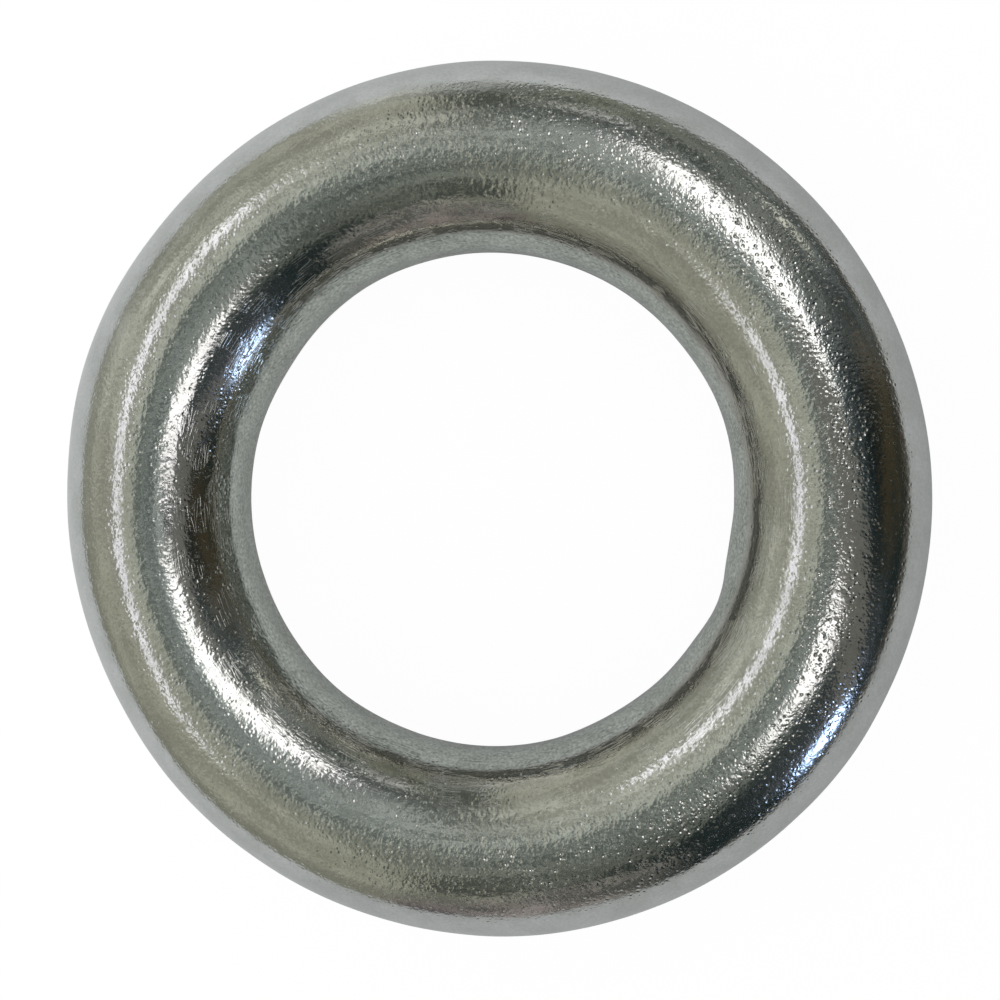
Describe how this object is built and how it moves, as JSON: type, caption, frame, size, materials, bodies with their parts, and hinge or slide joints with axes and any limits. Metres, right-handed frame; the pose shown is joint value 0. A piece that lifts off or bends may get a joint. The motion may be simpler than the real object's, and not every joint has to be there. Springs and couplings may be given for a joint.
{
  "type": "rigging ring",
  "caption": "Heavy round rigging ring: an endless forged round bar about a wide bore, for hooks, shackles, chain or rope.",
  "frame": {"origin": "centre of the ring, on the axis of the bore at half the bar's height", "axes": "+Z along the axis of the bore; X and Y lie in the plane of the ring"},
  "size_m": [0.0888, 0.0888, 0.019],
  "materials": {
    "zinc_plate": "bright zinc plating over a shot-blasted steel forging: glossy, with a fine orange-peel grain"
  },
  "bodies": {
    "root": {"ring": "zinc_plate"}
  },
  "joints": []
}
